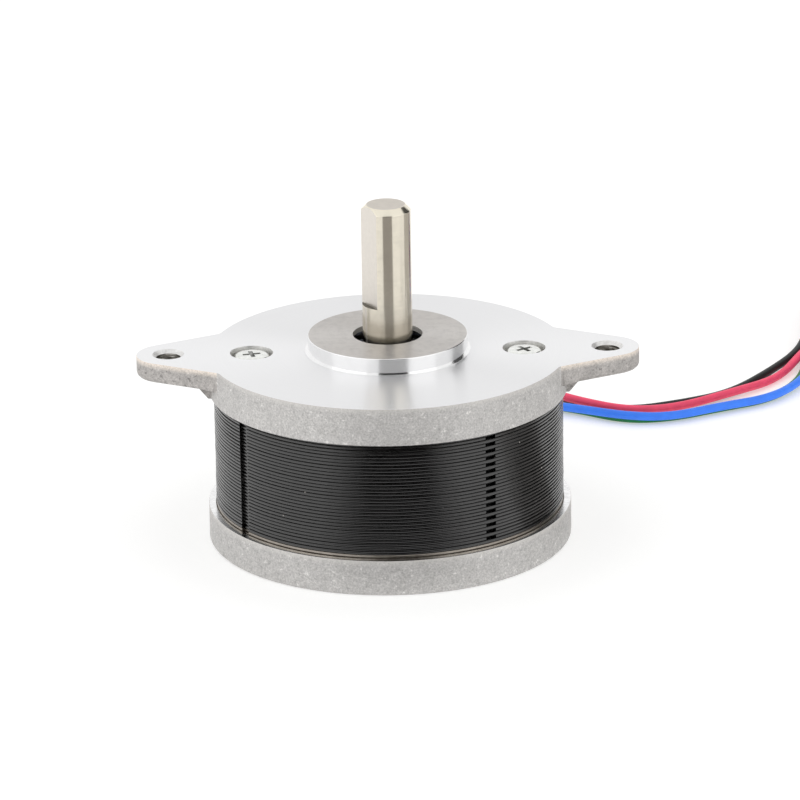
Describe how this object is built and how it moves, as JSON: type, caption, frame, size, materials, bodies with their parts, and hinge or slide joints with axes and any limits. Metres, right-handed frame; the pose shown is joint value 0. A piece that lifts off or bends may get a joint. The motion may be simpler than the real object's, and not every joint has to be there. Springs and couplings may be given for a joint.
{
  "type": "stepper motor",
  "caption": "Round flat hybrid stepper motor with two mounting ears, a raised pilot, a flatted output shaft and loose coloured leads.",
  "frame": {"origin": "centre of the rear cover's flat back face, on the shaft's axis", "axes": "+Z along the shaft towards its free end, +X along the two mounting ears, leads leave at +Y"},
  "size_m": [0.1008, 0.0938, 0.0346],
  "materials": {
    "turned_aluminium": "satin turned face on a die casting",
    "cast_aluminium": "blasted die casting",
    "lamination_steel": "black varnished electrical steel sheet edges",
    "insulator_resin": "moulded",
    "enamelled_copper": "enamelled winding wire",
    "ground_steel": "ground",
    "rotor_steel": "punched and ground",
    "magnet_alloy": "nickel plated sintered magnet",
    "brass_spacer": "turned",
    "spring_steel": "blued spring strip",
    "screw_steel": "zinc plated",
    "bearing_steel": "ground",
    "bearing_balls": "polished",
    "cage_steel": "pressed",
    "shield_steel": "pressed",
    "grommet_rubber": "moulded",
    "black_insulation": "smooth extruded",
    "red_insulation": "smooth extruded",
    "green_insulation": "smooth extruded",
    "blue_insulation": "smooth extruded",
    "coiled_leads": "hank of four leads",
    "tie_nylon": "moulded",
    "tinned_copper": "tinned strands"
  },
  "bodies": {
    "stator": {"front_flange": "turned_aluminium", "rear_cover": "cast_aluminium", "stator_stack": "lamination_steel", "front_insulator": "insulator_resin", "rear_insulator": "insulator_resin", "phase_a_windings": "enamelled_copper", "phase_b_windings": "enamelled_copper", "front_bearing_outer_ring": "bearing_steel", "rear_bearing_outer_ring": "bearing_steel", "front_bearing_shields": "shield_steel", "rear_bearing_shields": "shield_steel", "wave_washer": "spring_steel", "assembly_screws": "screw_steel", "lead_grommet": "grommet_rubber", "black_lead": "black_insulation", "red_lead": "red_insulation", "green_lead": "green_insulation", "blue_lead": "blue_insulation", "lead_coil": "coiled_leads", "coil_tie": "tie_nylon", "lead_tips": "tinned_copper"},
    "rotor": {"rotor_shaft": "ground_steel", "rotor_front_cup": "rotor_steel", "rotor_magnet": "magnet_alloy", "rotor_rear_cup": "rotor_steel", "front_spacer": "brass_spacer", "rear_spacer": "brass_spacer", "front_bearing_inner_ring": "bearing_steel", "rear_bearing_inner_ring": "bearing_steel"},
    "front_ball_set": {"front_bearing_balls": "bearing_balls", "front_bearing_cage": "cage_steel"},
    "rear_ball_set": {"rear_bearing_balls": "bearing_balls", "rear_bearing_cage": "cage_steel"}
  },
  "joints": [
    {"name": "rotor_spin", "type": "hinge", "parent": "stator", "child": "rotor", "pos_m": [0, 0, 0], "axis": [0, 0, 1], "continuous": true},
    {"name": "front_cage_spin", "type": "hinge", "parent": "stator", "child": "front_ball_set", "pos_m": [0, 0, 0.0179], "axis": [0, 0, 1], "continuous": true},
    {"name": "rear_cage_spin", "type": "hinge", "parent": "stator", "child": "rear_ball_set", "pos_m": [0, 0, 0.0029], "axis": [0, 0, 1], "continuous": true}
  ],
  "couplings": [
    {"joint": "front_cage_spin", "follows": "rotor_spin", "ratio": 0.4},
    {"joint": "rear_cage_spin", "follows": "rotor_spin", "ratio": 0.4}
  ]
}
